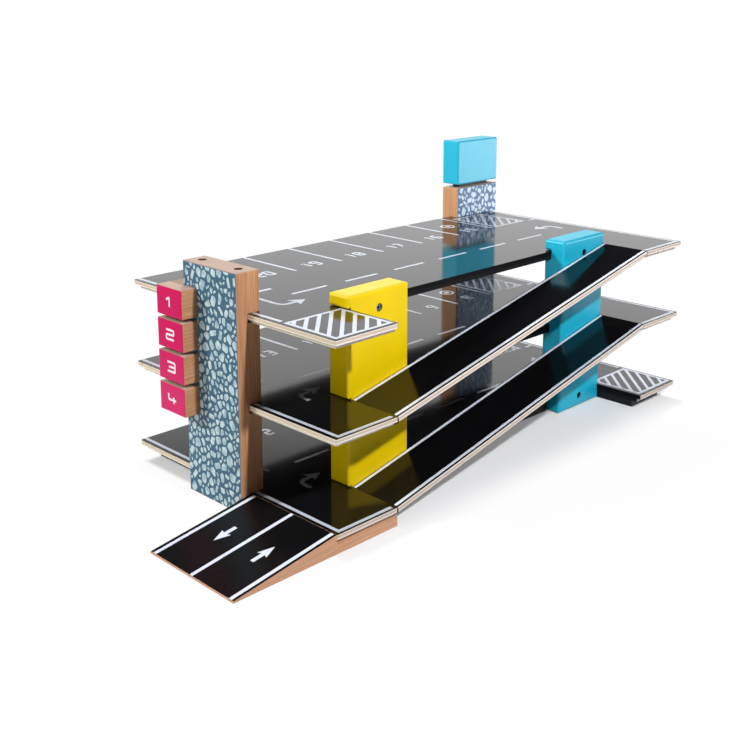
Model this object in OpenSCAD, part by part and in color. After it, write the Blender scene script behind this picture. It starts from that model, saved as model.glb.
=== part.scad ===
// Toy parking garage: three printed plywood decks on two painted pillars and
// two timber towers, with lift-out ramps, a loose entry wedge and a plug-in cap.
// Places are measured from the decks' left edge (x), the front edge of their
// arms (y) and the floor (z), and moved to the part's origin as it is drawn.

/* [Decks] */
// Length of a deck, side to side
deck_l = 500; // [420:5:700]
// Depth of a deck, front to back
deck_d = 267; // [240:1:360]
// Width of each side arm
arm_w = 67; // [58:0.5:90]
// Depth of the notch between the arms
notch_d = 68.5; // [64:0.5:72]
// Thickness of the printed upper panel
panel_t = 4.5; // [4:0.1:6]
// Thickness of the plain lower panel
base_t = 3.5; // [3:0.1:5]
// Set-back of the lower panel from the outer edges
base_inset = 4; // [2:0.5:8]
// Height from one deck to the next
storey_h = 77; // [65:1:95]
// Corner radius of the decks
deck_corner_r = 1; // [0.5:0.5:5]

/* [Plinth] */
// Height of the plinth battens
plinth_h = 8; // [6:0.5:14]
// Width of the front and back battens
batten_w = 30; // [15:1:45]
// Set-back of the plinth from the decks' front and right edges
plinth_inset = 12; // [8:0.5:20]

/* [Towers] */
// Width of the timber that towers, pillars and cap are cut from
timber_w = 72; // [60:1:90]
// Thickness of that timber
timber_t = 24; // [20:0.5:32]
// How far both towers rise above the top deck
tower_rise = 35; // [25:1:70]
// Front face of the front tower, from the front edge of the arms
front_tower_y = 103; // [85:1:120]
// How far the decks reach into the front tower
front_tower_lap = 13; // [8:0.5:15]
// How far the decks reach into the rear tower
rear_tower_lap = 12; // [8:0.5:15]
// How far the rear tower stands out past the decks' right edge
rear_tower_overhang = 9; // [0:1:20]
// Edge rounding of the natural timber and the cap
tower_edge_r = 1.5; // [0.5:0.25:3]

/* [Pillars] */
// Front face of the pillars, from the front edge of the arms
pillar_y = 53; // [49:0.5:56]
// How far the pillars rise above the top deck
pillar_rise = 11.5; // [6:0.5:25]
// How far a pillar reaches over its arm
pillar_lap = 3; // [1:0.5:6]
// Edge rounding of the painted pillars
pillar_edge_r = 3; // [1:0.25:3.5]

/* [Ramps] */
// Thickness of a ramp board
ramp_t = 5; // [4.5:0.1:7]
// Length of the ledge that carries each end of a ramp
ledge_l = 5; // [4:0.5:8]
// Length of the entry wedge in front of the decks
wedge_l = 100; // [70:1:140]
// Thickness of the wedge's blunt tip
wedge_tip_h = 1.5; // [1:0.1:3]

/* [Cap and sockets] */
// Height of the cap
cap_h = 51; // [35:1:70]
// Thickness of the connector's plate, which is the gap under the cap
connector_t = 4; // [3:0.5:8]
// Diameter of the connector's pins
pin_d = 7.44; // [6:0.01:9]
// Length of each connector pin
pin_l = 14; // [10:0.5:15]
// Chamfer at the tip of a pin
pin_chamfer = 0.8; // [0.3:0.1:1.5]
// Rim of the connector's plate around its pins
connector_rim = 1; // [0.5:0.25:3]
// Radial play of a pin in its socket
pin_play = 0.08; // [0.02:0.01:0.1]
// Distance of each socket from the end of the timber
socket_inset = 12; // [10:0.5:16]
// Depth of a socket below the tip of its pin
socket_spare = 2; // [1:0.5:4]

/* [Sign] */
// Width of a sign block
sign_w = 36; // [30:1:44]
// Height of a sign block
sign_h = 25.2; // [18:0.2:27]
// Distance from one block to the next
sign_pitch = 28.2; // [27.5:0.1:32]
// How far the blocks stand out from the tower's face
sign_proud = 15.4; // [13:0.2:20]
// How far the blocks reach across the tower's face
sign_lap = 19; // [12:0.5:28]
// Height of the tower above the uppermost block
sign_drop = 21; // [10:1:30]
// Edge rounding of the sign blocks
sign_edge_r = 1.2; // [0.5:0.1:2]
// Diameter of the dowels behind the blocks
dowel_d = 6; // [4:0.5:8]
// Length of those dowels
dowel_l = 16; // [10:1:18]

/* [Screws] */
// Diameter of a screw's shank
screw_d = 3.2; // [2.5:0.1:4]
// Diameter of a screw's head
screw_head_d = 7; // [6:0.1:9]
// Thickness of a screw's head
screw_head_t = 2.2; // [1.5:0.1:3]
// Depth of the recess that the head sits in
screw_recess = 3.4; // [3:0.1:6]
// Length of the screw that bites into a deck
screw_bite = 12; // [8:0.5:20]

/* [Fits] */
// Clearance between pieces that are taken apart
gap = 0.3; // [0.2:0.05:0.5]
// Clearance of a glued or screwed joint
fit = 0.2; // [0.1:0.05:0.3]

/* [Hidden] */
$fn = 48;

// Counts that the list of sub-parts fixes
levels = 3;
sign_count = 4;

// Decks that are screwed to each pillar. The cyan one shows no screw at the
// middle deck, which is glued there.
yellow_screw_levels = [1, 2, 3];
cyan_screw_levels = [1, 3];

// Overshoot of a cut past the face that it opens
over = 20;

// Paint and wood
ink = [0.07, 0.07, 0.08];
plywood = [0.90, 0.80, 0.64];
timber = [0.80, 0.58, 0.42];
yellow = [0.95, 0.85, 0.05];
cyan = [0.25, 0.75, 0.90];
pink = [0.90, 0.10, 0.50];
steel = [0.62, 0.65, 0.70];

// Heights of the decks, level 1 at the bottom
deck_t = panel_t + base_t;
function deck_bottom(level) = plinth_h + (level - 1) * storey_h;
function deck_top(level) = deck_bottom(level) + deck_t;
function panel_seam(level) = deck_bottom(level) + base_t;

// Inner edges of the arms
arm_left_x = arm_w;
arm_right_x = deck_l - arm_w;

// Towers
tower_h = deck_top(levels) + tower_rise;
front_tower_x = front_tower_lap - timber_t;
front_tower_back_y = front_tower_y + timber_w;
rear_tower_x = deck_l + rear_tower_overhang - timber_w;
rear_tower_y = deck_d - rear_tower_lap;

// Pillars
pillar_h = deck_top(levels) + pillar_rise;
left_pillar_x = arm_left_x - pillar_lap;
right_pillar_x = arm_right_x + pillar_lap - timber_w;

// Plinth
plinth_left_x = front_tower_lap + fit;
plinth_right_x = right_pillar_x + timber_w + fit;
plinth_back_y = rear_tower_y - fit;
plinth_side_end_y = plinth_back_y - batten_w;

// Ramps
ramp_w = pillar_y - gap;
ramp_x0 = arm_left_x + gap;
ramp_x1 = arm_right_x - gap;
ramp_slope = storey_h / (ramp_x1 - ramp_x0);
ramp_drop = ramp_t * sqrt(1 + ramp_slope * ramp_slope);
ramp_tilt = atan(ramp_slope);
wedge_w = front_tower_y - gap;

// Sockets and connector
socket_d = pin_d + 2 * pin_play;
socket_depth = pin_l + socket_spare;
socket_span = timber_w - 2 * socket_inset;
connector_r = pin_d / 2 + connector_rim;
cap_z = tower_h + connector_t;

// Sign blocks, number 1 at the top
sign_x = front_tower_x - sign_proud;
sign_y = front_tower_back_y - sign_lap;
sign_d = -gap - sign_x;
function sign_z(i) = tower_h - sign_drop - sign_h - (i - 1) * sign_pitch;

// Screws
screw_start_y = pillar_y + screw_recess - screw_head_t;
screw_end_y = notch_d + screw_bite;
function screw_x(pillar_x) = pillar_x + timber_w / 2;

// Origin: middle of the part's box, on the floor
origin_x = (rear_tower_x + timber_w - wedge_l) / 2;
origin_y = (rear_tower_y + timber_t) / 2;

module painted(paint) {
    color(paint) translate([-origin_x, -origin_y, 0]) children();
}

// Rectangle with round corners, one of them at the origin
module round_rect(size, r) {
    translate([r, 0]) square([size.x - 2 * r, size.y]);
    translate([0, r]) square([size.x, size.y - 2 * r]);
    for (x = [r, size.x - r], y = [r, size.y - r])
        translate([x, y]) circle(r = r);
}

// Profile in x and z, drawn along +y
module extrude_y(l) {
    translate([0, l, 0]) rotate([90, 0, 0]) linear_extrude(l) children();
}

// Rod along +y from a point
module rod_y(p, d, l) {
    translate(p) rotate([-90, 0, 0]) cylinder(d = d, h = l);
}

// Rod along +x from a point
module rod_x(p, d, l) {
    translate(p) rotate([0, 90, 0]) cylinder(d = d, h = l);
}

// Block with all its edges rounded, as far as its thinnest side allows
module round_block(size, edge_r) {
    r = min(edge_r, 0.45 * min(size));
    intersection() {
        linear_extrude(size.z) round_rect([size.x, size.y], r);
        extrude_y(size.y) round_rect([size.x, size.z], r);
        rotate([90, 0, 90]) linear_extrude(size.x) round_rect([size.y, size.z], r);
    }
}

// Outline of a deck: a strip with an arm at each end, its outer edges set back
module deck_outline(inset = 0) {
    difference() {
        translate([inset, inset])
            round_rect([deck_l - 2 * inset, deck_d - 2 * inset], deck_corner_r);
        translate([arm_left_x, -over])
            square([arm_right_x - arm_left_x, notch_d + over]);
    }
}

// Pilot holes in a deck's notch edge, one behind each pillar's screw
module pilot_holes(level) {
    for (pillar = [[left_pillar_x, yellow_screw_levels], [right_pillar_x, cyan_screw_levels]])
        for (screwed = pillar[1])
            if (screwed == level)
                rod_y([screw_x(pillar[0]), notch_d - over, panel_seam(level)],
                    screw_d + fit, over + screw_bite + fit);
}

module deck_panel(level) {
    painted(ink) difference() {
        translate([0, 0, panel_seam(level)]) linear_extrude(panel_t) deck_outline();
        pilot_holes(level);
    }
}

// Ledge for the end of a ramp, between two places along x
module ramp_ledge(x0, x1) {
    translate([x0, base_inset]) square([x1 - x0, ramp_w - base_inset]);
}

module deck_base(level) {
    root = arm_w / 4;
    painted(plywood) difference() {
        translate([0, 0, deck_bottom(level)]) linear_extrude(base_t) {
            deck_outline(base_inset);
            if (level < levels) ramp_ledge(arm_left_x - root, arm_left_x + ledge_l);
            if (level > 1) ramp_ledge(arm_right_x - ledge_l, arm_right_x + root);
        }
        pilot_holes(level);
    }
}

module batten(x0, x1, y0, y1) {
    painted(ink) translate([x0, y0, 0]) cube([x1 - x0, y1 - y0, plinth_h]);
}

module plinth_front() {
    batten(left_pillar_x + timber_w + fit, right_pillar_x - fit, notch_d, notch_d + batten_w);
}

module plinth_back() {
    batten(plinth_left_x, deck_l - plinth_inset, plinth_side_end_y, plinth_back_y);
}

module plinth_left() {
    batten(plinth_left_x, left_pillar_x, wedge_w + gap, plinth_side_end_y);
}

module plinth_right() {
    batten(plinth_right_x, deck_l - plinth_inset, plinth_inset, plinth_side_end_y);
}

// Two blind sockets in an end of the timber, their mouths at z = 0
module socket_pair() {
    for (x = [socket_inset, socket_inset + socket_span])
        translate([x, timber_t / 2, -socket_depth])
            cylinder(d = socket_d, h = socket_depth + over);
}

// Dowel behind a sign block, half in the block and half in the tower
module sign_dowel(i, d, l) {
    rod_x([front_tower_x - l / 2, sign_y + sign_lap / 2, sign_z(i) + sign_h / 2], d, l);
}

module dowel_hole(i) {
    sign_dowel(i, dowel_d + fit, dowel_l + 10 * fit);
}

module front_tower() {
    painted(timber) difference() {
        translate([front_tower_x, front_tower_y, 0])
            round_block([timber_t, timber_w, tower_h], tower_edge_r);
        for (level = [1:levels])
            translate([-fit, front_tower_y - over, deck_bottom(level)])
                cube([front_tower_lap + over, timber_w + 2 * over, deck_t + fit]);
        for (i = [1:sign_count]) dowel_hole(i);
        translate([front_tower_x + timber_t, front_tower_y, tower_h])
            rotate([0, 0, 90]) socket_pair();
    }
}

module rear_tower() {
    painted(timber) difference() {
        translate([rear_tower_x, rear_tower_y, 0])
            round_block([timber_w, timber_t, tower_h], tower_edge_r);
        for (level = [1:levels])
            translate([rear_tower_x - over, rear_tower_y - over, deck_bottom(level)])
                cube([timber_w + 2 * over, rear_tower_lap + over + fit, deck_t + fit]);
        translate([rear_tower_x, rear_tower_y, tower_h]) socket_pair();
    }
}

// Recess and clearance hole for the screw that holds a deck
module screw_way(pillar_x, level) {
    x = screw_x(pillar_x);
    z = panel_seam(level);
    rod_y([x, pillar_y - over, z], screw_head_d + 2 * fit, over + screw_recess);
    rod_y([x, pillar_y, z], screw_d + 2 * fit, timber_t);
}

// Pillar: one rounded stretch of timber in each storey and a core in front of
// the decks' notch edge, so each deck's inner corner sits in a slot
module pillar(pillar_x, screw_levels, paint) {
    painted(paint) difference() {
        translate([pillar_x, pillar_y, 0]) {
            for (level = [0:levels]) {
                z0 = level == 0 ? 0 : deck_top(level) + fit;
                z1 = level == levels ? pillar_h : deck_bottom(level + 1);
                translate([0, 0, z0])
                    round_block([timber_w, timber_t, z1 - z0], pillar_edge_r);
            }
            intersection() {
                round_block([timber_w, timber_t, pillar_h], pillar_edge_r);
                translate([arm_left_x + fit - pillar_x, 0, 0])
                    cube([arm_right_x - arm_left_x - 2 * fit, notch_d - fit - pillar_y, pillar_h]);
            }
        }
        for (level = screw_levels) screw_way(pillar_x, level);
    }
}

// Screw with a cross recess in its head, pointing along +y
module screw() {
    slot_l = 0.6 * screw_head_d;
    slot_w = 0.16 * screw_head_d;
    slot_depth = 0.55 * screw_head_t;
    difference() {
        union() {
            rod_y([0, screw_start_y, 0], screw_head_d, screw_head_t);
            rod_y([0, screw_start_y, 0], screw_d, screw_end_y - screw_start_y);
        }
        for (turn = [0, 90])
            translate([0, screw_start_y, 0]) rotate([0, turn, 0])
                translate([-slot_l / 2, -slot_depth, -slot_w / 2])
                    cube([slot_l, 2 * slot_depth, slot_w]);
    }
}

module pillar_screws(pillar_x, screw_levels) {
    painted(steel)
        for (level = screw_levels)
            translate([screw_x(pillar_x), 0, panel_seam(level)]) screw();
}

// Ramp from a deck's left arm up to the next deck's right arm. Its low end is
// cut square to the board and its high end upright. Both are cut back
// underneath, so they lie on the ledges with its top flush with the decks.
module ramp(level) {
    z0 = deck_top(level);
    z1 = deck_top(level + 1);
    seat_l = ledge_l + gap;
    seat_drop = panel_t - gap;
    painted(ink) extrude_y(ramp_w) difference() {
        polygon([
            [ramp_x0 + ramp_t * sin(ramp_tilt), z0 - ramp_t * cos(ramp_tilt)],
            [ramp_x0, z0], [ramp_x1, z1], [ramp_x1, z1 - ramp_drop]
        ]);
        translate([ramp_x0 - over, z0 - seat_drop - over]) square([over + seat_l, over]);
        translate([ramp_x1 - seat_l, z1 - seat_drop - over]) square([over + seat_l, over]);
    }
}

// Entry wedge: it slopes up to the lowest deck and reaches under its left arm
module entry_ramp() {
    ledge_z = plinth_h - gap;
    ledge_x = arm_left_x - gap;
    painted(timber) difference() {
        extrude_y(wedge_w) polygon([
            [-wedge_l, 0], [-wedge_l, wedge_tip_h], [-gap, deck_top(1)],
            [-gap, ledge_z], [ledge_x, ledge_z], [ledge_x, 0]
        ]);
        translate([left_pillar_x - gap, pillar_y - gap, -over])
            cube([timber_w, wedge_w, deck_top(1) + over]);
    }
}

// Sign block: it wraps the tower's corner, so a rebate fits the corner
module sign_block(i) {
    painted(pink) difference() {
        translate([sign_x, sign_y, sign_z(i)])
            round_block([sign_d, sign_w, sign_h], sign_edge_r);
        translate([front_tower_x, sign_y - over, sign_z(i) - over])
            cube([sign_d + over, sign_lap + over, sign_h + 2 * over]);
        dowel_hole(i);
    }
}

module sign_dowels() {
    painted(timber) for (i = [1:sign_count]) sign_dowel(i, dowel_d, dowel_l);
}

module tower_cap() {
    painted(cyan) translate([rear_tower_x, rear_tower_y, cap_z]) difference() {
        round_block([timber_w, timber_t, cap_h], tower_edge_r);
        mirror([0, 0, 1]) socket_pair();
    }
}

// Pin that stands on z = 0, with a chamfered tip
module connector_pin() {
    cylinder(d = pin_d, h = pin_l - pin_chamfer);
    translate([0, 0, pin_l - pin_chamfer])
        cylinder(d1 = pin_d, d2 = pin_d - 2 * pin_chamfer, h = pin_chamfer);
}

// Connector between tower and cap: a plate with two pins down and two up
module cap_connector() {
    first = [rear_tower_x + socket_inset, rear_tower_y + timber_t / 2, tower_h];
    painted(ink) translate(first) {
        translate([0, -connector_r, 0]) cube([socket_span, 2 * connector_r, connector_t]);
        for (x = [0, socket_span]) translate([x, 0, 0]) {
            cylinder(r = connector_r, h = connector_t);
            translate([0, 0, connector_t]) connector_pin();
            mirror([0, 0, 1]) connector_pin();
        }
    }
}

deck_panel(1);  // deck_1_top
deck_panel(2);  // deck_2_top
deck_panel(3);  // deck_3_top
deck_base(1);  // deck_1_base
deck_base(2);  // deck_2_base
deck_base(3);  // deck_3_base
plinth_front();
plinth_back();
plinth_left();
plinth_right();
front_tower();
rear_tower();
pillar(left_pillar_x, yellow_screw_levels, yellow);  // yellow_pillar
pillar(right_pillar_x, cyan_screw_levels, cyan);  // cyan_pillar
pillar_screws(left_pillar_x, yellow_screw_levels);  // yellow_pillar_screws
pillar_screws(right_pillar_x, cyan_screw_levels);  // cyan_pillar_screws
ramp(1);  // lower_ramp
ramp(2);  // upper_ramp
entry_ramp();
sign_block(1);  // sign_block_1
sign_block(2);  // sign_block_2
sign_block(3);  // sign_block_3
sign_block(4);  // sign_block_4
sign_dowels();
tower_cap();
cap_connector();
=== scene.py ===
import math

import bpy
import numpy as np
from mathutils import Matrix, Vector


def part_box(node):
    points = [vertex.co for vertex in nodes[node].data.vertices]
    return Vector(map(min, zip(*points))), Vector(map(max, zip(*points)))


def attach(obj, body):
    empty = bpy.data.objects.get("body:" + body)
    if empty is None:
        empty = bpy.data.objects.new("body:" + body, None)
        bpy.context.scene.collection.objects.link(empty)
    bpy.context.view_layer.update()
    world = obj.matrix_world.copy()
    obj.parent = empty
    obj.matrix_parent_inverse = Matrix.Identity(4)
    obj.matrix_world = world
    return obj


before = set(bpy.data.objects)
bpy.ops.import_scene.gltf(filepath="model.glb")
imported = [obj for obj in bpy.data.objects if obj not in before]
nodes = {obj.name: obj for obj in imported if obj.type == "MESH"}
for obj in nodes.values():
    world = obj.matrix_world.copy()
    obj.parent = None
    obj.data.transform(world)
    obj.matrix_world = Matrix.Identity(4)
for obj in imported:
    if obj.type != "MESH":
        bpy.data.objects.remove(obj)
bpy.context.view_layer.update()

scene = bpy.context.scene

# Places are millimetres from the decks' left edge, the front edge of their arms and the floor.
# The row frame's origin lies this far from there.
deck_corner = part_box("deck_1_top")[0]
ORIGIN = (-round(deck_corner.x * 1000, 2), -round(deck_corner.y * 1000, 2), 0.0)


def node_box(node):
    """Lowest and highest corner of a CAD node as such places, rounded to a hundredth."""
    return [[round(v * 1000 + shift, 2) for v, shift in zip(corner, ORIGIN)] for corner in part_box(node)]


# Decks, counted from the lowest: their upper faces and undersides, the seam between the lowest deck's
# two panels, the width of their arms and the depth of the notch between those
DECK_TOPS = {level: node_box(f"deck_{level}_top")[1][2] for level in (1, 2, 3)}
UNDERSIDES = {level: node_box(f"deck_{level}_base")[0][2] for level in (1, 2, 3)}
STOREY = DECK_TOPS[2] - DECK_TOPS[1]
DECK_LENGTH, DECK_DEPTH = node_box("deck_1_top")[1][:2]
SEAM = node_box("deck_1_top")[0][2]
LOWER_PANEL = SEAM - UNDERSIDES[1]
UPPER_PANEL = DECK_TOPS[1] - SEAM
ARM, NOTCH = 67.0, 68.5

# Ramp boards are 5 mm thick, and their depth is measured upright. The wedge is 1.5 mm high at its foot
# and reaches the lowest deck's level just before its edge.
RAMP_START, RAMP_END = (corner[0] for corner in node_box("lower_ramp"))
RAMP_SLOPE = STOREY / (RAMP_END - RAMP_START)
RAMP_DEPTH = 5.0 * math.hypot(1.0, RAMP_SLOPE)
WEDGE_FOOT, WEDGE_HEAD = node_box("entry_ramp")[0][0], -0.3
WEDGE_SLOPE = (DECK_TOPS[1] - 1.5) / (WEDGE_HEAD - WEDGE_FOOT)

# Towers with their two sockets, sign blocks and pillars
FRONT_TOWER = node_box("front_tower")
REAR_TOWER = node_box("rear_tower")
TOWER_WIDTH = FRONT_TOWER[1][1] - FRONT_TOWER[0][1]
TOWER_DEPTH = FRONT_TOWER[1][0] - FRONT_TOWER[0][0]
TOWER_HEIGHT = FRONT_TOWER[1][2]
SOCKET_INSET, SOCKET_RADIUS = 12.0, 3.8
SIGN_NAMES = [f"sign_block_{number}" for number in (1, 2, 3, 4)]
SIGN_BLOCKS = [node_box(name) for name in SIGN_NAMES]
PILLAR_FRONT = node_box("yellow_pillar")[0][1]

# A print stands this far above its surface and starts this far below it. An arrow's stem lies a little
# lower than its head, so no two faces lie in one plane.
LIFT = 0.08
SINK = 0.02
STEM_LIFT = LIFT - 0.015


def srgb(text):
    """Linear colour of a six-digit sRGB value: the standard's straight foot, then its power of 2.4."""
    parts = [int(text[i:i + 2], 16) / 255 for i in (0, 2, 4)]
    linear = [c / 12.92 if c <= 0.04045 else ((c + 0.055) / 1.055) ** 2.4 for c in parts]
    return (*linear, 1.0)


# Sockets as values


class Value:
    """One socket of a node tree. Arithmetic on it adds Math nodes."""

    def __init__(self, shader, socket):
        self.shader = shader
        self.socket = socket

    def __add__(self, other):
        return self.shader.maths("ADD", self, other)

    __radd__ = __add__

    def __sub__(self, other):
        return self.shader.maths("SUBTRACT", self, other)

    def __rsub__(self, other):
        return self.shader.maths("SUBTRACT", other, self)

    def __mul__(self, other):
        return self.shader.maths("MULTIPLY", self, other)

    __rmul__ = __mul__

    def __truediv__(self, other):
        return self.shader.maths("DIVIDE", self, other)

    def __pow__(self, other):
        return self.shader.maths("POWER", self, other)

    def __mod__(self, other):
        return self.shader.maths("FLOORED_MODULO", self, other)

    def __abs__(self):
        return self.shader.maths("ABSOLUTE", self)

    def __gt__(self, other):
        return self.shader.maths("GREATER_THAN", self, other)

    def __lt__(self, other):
        return self.shader.maths("LESS_THAN", self, other)


class Shader:
    """A node tree and the few tools that fill it."""

    def __init__(self, tree):
        self.tree = tree
        tree.nodes.clear()

    def node(self, kind, settings=None, inputs=None, output=0):
        """Adds a node, its settings first, then the values or links of its sockets."""
        made = self.tree.nodes.new(kind)
        for name, value in (settings or {}).items():
            setattr(made, name, value)
        for name, value in (inputs or {}).items():
            if isinstance(value, Value):
                self.tree.links.new(value.socket, made.inputs[name])
            else:
                made.inputs[name].default_value = value
        return Value(self, made.outputs[output]) if len(made.outputs) else None

    def maths(self, operation, *values):
        """A Math node on values or links."""
        return self.node("ShaderNodeMath", {"operation": operation}, dict(enumerate(values)))

    def larger(self, a, b):
        """The larger of two values: either of two masks."""
        return self.maths("MAXIMUM", a, b)

    def smaller(self, a, b):
        """The smaller of two values: where two masks meet."""
        return self.maths("MINIMUM", a, b)

    def split(self, vector):
        """The three numbers of a vector."""
        parts = self.node("ShaderNodeSeparateXYZ", None, {0: vector}).socket.node
        return [Value(self, socket) for socket in parts.outputs]

    def place(self):
        """Object coordinates as x, y and z in millimetres from the decks' corner."""
        x, y, z = self.split(self.node("ShaderNodeTexCoord", output="Object"))
        return x * 1000 + ORIGIN[0], y * 1000 + ORIGIN[1], z * 1000

    def facing(self):
        """The surface's own direction along x, y and z."""
        return self.split(self.node("ShaderNodeTexCoord", output="Normal"))

    def rounding(self, normal):
        """How far the surface turns from the nearest axis: 0 if it faces along it, 0.29 halfway round an
        edge."""
        return 1 - self.larger(self.larger(abs(normal[0]), abs(normal[1])), abs(normal[2]))

    def ray(self, kind):
        """1 for rays of one kind: Camera, Glossy or Transmission."""
        return self.node("ShaderNodeLightPath", output=f"Is {kind} Ray")

    def noise(self, place, scale, detail=3.0, roughness=0.55):
        """Cloudy noise around 0.5 at a place of three numbers."""
        vector = self.node("ShaderNodeCombineXYZ", None, dict(enumerate(place)))
        return self.node("ShaderNodeTexNoise", None,
                         {"Vector": vector, "Scale": scale, "Detail": detail, "Roughness": roughness})

    def step(self, value, low, high, first=0.0, last=1.0):
        """Smooth step of a value, from first at low to last at high."""
        return self.node("ShaderNodeMapRange", {"interpolation_type": "SMOOTHSTEP"},
                         {"Value": value, "From Min": low, "From Max": high, "To Min": first, "To Max": last})

    def mix(self, share, a, b):
        """Colour a where the share is 0 and colour b where it is 1."""
        return self.node("ShaderNodeMix", {"data_type": "RGBA"}, {0: share, 6: a, 7: b}, 2)

    def dim(self, colour, factor):
        """A colour times a number."""
        if not isinstance(colour, Value):
            colour = colour[:3]
        return self.node("ShaderNodeVectorMath", {"operation": "SCALE"}, {0: colour, 3: factor})

    def bump(self, height, distance):
        """Normal of a height map whose full range is that many metres."""
        return self.node("ShaderNodeBump", None,
                         {"Strength": 1.0, "Distance": distance, "Height": height})


def material(name, finish, *values):
    """A material from one Principled shader, whose sockets a finish works out from the shader and the
    values. With a "Coated" entry a second one with the lacquer's IOR covers the first where that is 1."""
    made = bpy.data.materials.new(name)
    made.use_nodes = True
    shader = Shader(made.node_tree)
    sockets = finish(shader, *values)
    coated = sockets.pop("Coated", None)
    surface = shader.node("ShaderNodeBsdfPrincipled", None, sockets)
    if coated is not None:
        lacquer = shader.node("ShaderNodeBsdfPrincipled", None, {**sockets, "IOR": 1.5})
        surface = shader.node("ShaderNodeMixShader", None, {0: coated, 1: surface, 2: lacquer})
    shader.node("ShaderNodeOutputMaterial", None, {"Surface": surface})
    return made


# Finishes

BLACK = (0.0040, 0.0038, 0.0046, 1.0)
BATTEN_BLACK = (0.007, 0.0068, 0.008, 1.0)
PLASTIC_BLACK = (0.012, 0.012, 0.013, 1.0)
PLY_SIDE = srgb("e9e0cf")
PLY_SIDE_CROSS = srgb("dccaac")
PLY_FRONT = srgb("e5dbd4")
PLY_FRONT_CROSS = srgb("cbb8a8")
PLY_GLUE = srgb("7d6248")
WOOD_END = srgb("b5a196")
WOOD_WORN = srgb("dcb596")
PINK = srgb("cc0a59")
PINK_PALE = srgb("dd4f86")
SIGN_WHITE = srgb("f3e6ee")
STEEL = srgb("7c8ba0")
STEEL_DARK_AND_SHADED = srgb("1f2226")


def lacquered_black(shader, x, y, z, haze=0.075):
    """Colour, roughness and height of the black print under its gloss lacquer."""
    cloud = shader.noise((x, y, z), 0.03, 3.0)
    dust = shader.noise((x, y, z), 1.6, 2.0)
    colour = shader.dim(BLACK, 0.75 + cloud * 0.5 + shader.step(dust, 0.68, 0.8) * 0.5)
    roughness = haze + cloud * 0.04 + shader.step(dust, 0.66, 0.78) * 0.05
    peel = shader.noise((x, y, z), 0.22, 2.0)
    return colour, roughness, peel


def plywood_edge(shader, along, height, thickness, front):
    """Colour of a plywood edge, from places along the edge and up through its thickness: three plies with
    dark glue lines, the outer two with fibres along the edge and the middle one with cut ends. The front
    is 1 on edges that face along y, which are greyer."""
    fibres = shader.noise((along * 0.06, height * 2.2, 0.0), 1.0, 4.0, 0.65)
    pores = shader.noise((along * 1.1, height * 1.6, 3.0), 1.0, 3.0, 0.6)
    ply = height / (thickness / 3)
    middle = shader.smaller(ply > 1, ply < 2)
    face_colour = shader.dim(shader.mix(front, PLY_SIDE, PLY_FRONT), 0.86 + fibres * 0.26)
    cross_colour = shader.dim(shader.mix(front, PLY_SIDE_CROSS, PLY_FRONT_CROSS), 0.70 + pores * 0.55)
    colour = shader.mix(middle, face_colour, cross_colour)
    line = shader.smaller(abs(ply - 1), abs(ply - 2))
    return shader.mix(shader.step(line, 0.04, 0.10, 0.75, 0.0), colour, PLY_GLUE)


def veneer(shader, x, y, z):
    """Colour of a plain plywood face, its fibres along x."""
    fibres = shader.noise((x * 0.02, y * 0.9, z * 0.9), 1.0, 5.0, 0.6)
    flecks = shader.noise((x * 0.12, y * 1.8, z * 1.8), 1.0, 2.0)
    return shader.dim(PLY_SIDE, 0.78 + fibres * 0.3 - shader.step(flecks, 0.62, 0.72) * 0.12)


def panel_finish(shader, bottom, thickness, lower):
    """Deck panel, from its underside's height in the deck and its thickness. The upper one is black and
    glossy on top, the lower one black and matt underneath. Both are black on the notch's edges and in a
    thin line along the upper rim of the outer edges, which are bare plywood below it."""
    x, y, z = shader.place()
    _, ny, nz = shader.facing()
    height = (z - UNDERSIDES[1] + 0.01) % STOREY - 0.01 - bottom
    between_arms = shader.smaller(x > ARM - 0.5, x < DECK_LENGTH - ARM + 0.5)
    inside = shader.smaller(between_arms, y < NOTCH + 0.5)
    upright = abs(nz) < 0.5
    ply = plywood_edge(shader, x + y, height, thickness, abs(ny) > 0.5)
    black, gloss, peel = lacquered_black(shader, x, y, z)
    colour = shader.mix(upright, veneer(shader, x, y, z), ply)
    dark = shader.larger(inside * upright, (height > thickness - 0.45) * upright)
    dark = shader.larger(dark, nz < -0.5 if lower else nz > 0.5)
    colour = shader.mix(dark, colour, black)
    grain = shader.noise((x * 0.15 + y * 0.15, height * 2.0, 0.0), 1.0, 3.0)
    if lower:
        return {"Base Color": colour, "Roughness": 0.56 + dark * 0.24 + grain * 0.1, "IOR": 1.3,
                "Normal": shader.bump(grain, 0.00003)}
    lacquer = nz > 0.5
    satin = lacquer * gloss + (1 - lacquer) * 0.55
    bump = shader.bump(lacquer * peel + (1 - lacquer) * grain * 4, 0.000006)
    return {"Base Color": colour, "Roughness": satin, "Normal": bump, "IOR": 1.15, "Coated": lacquer}


def ramp_finish(shader, level):
    """Ramp board: black print above, below and on its cut ends, plywood on its long edges."""
    x, y, z = shader.place()
    _, ny, nz = shader.facing()
    below = DECK_TOPS[level] + (x - RAMP_START) * RAMP_SLOPE - z
    height = RAMP_DEPTH - below
    ply = plywood_edge(shader, x, height, RAMP_DEPTH, abs(ny) > 0.5)
    black, gloss, peel = lacquered_black(shader, x, y, z, 0.11)
    bare = shader.smaller(height > 0.35, height < RAMP_DEPTH - 0.16)
    colour = shader.mix((abs(ny) > 0.5) * bare, black, ply)
    lacquer = nz > 0.5
    satin = lacquer * gloss + (1 - lacquer) * 0.6
    grain = shader.noise((x * 0.15, height * 2.0, 0.0), 1.0, 3.0)
    bump = shader.bump(lacquer * peel + (1 - lacquer) * grain * 4, 0.000006)
    return {"Base Color": colour, "Roughness": satin, "Normal": bump, "IOR": 1.38}


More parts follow.
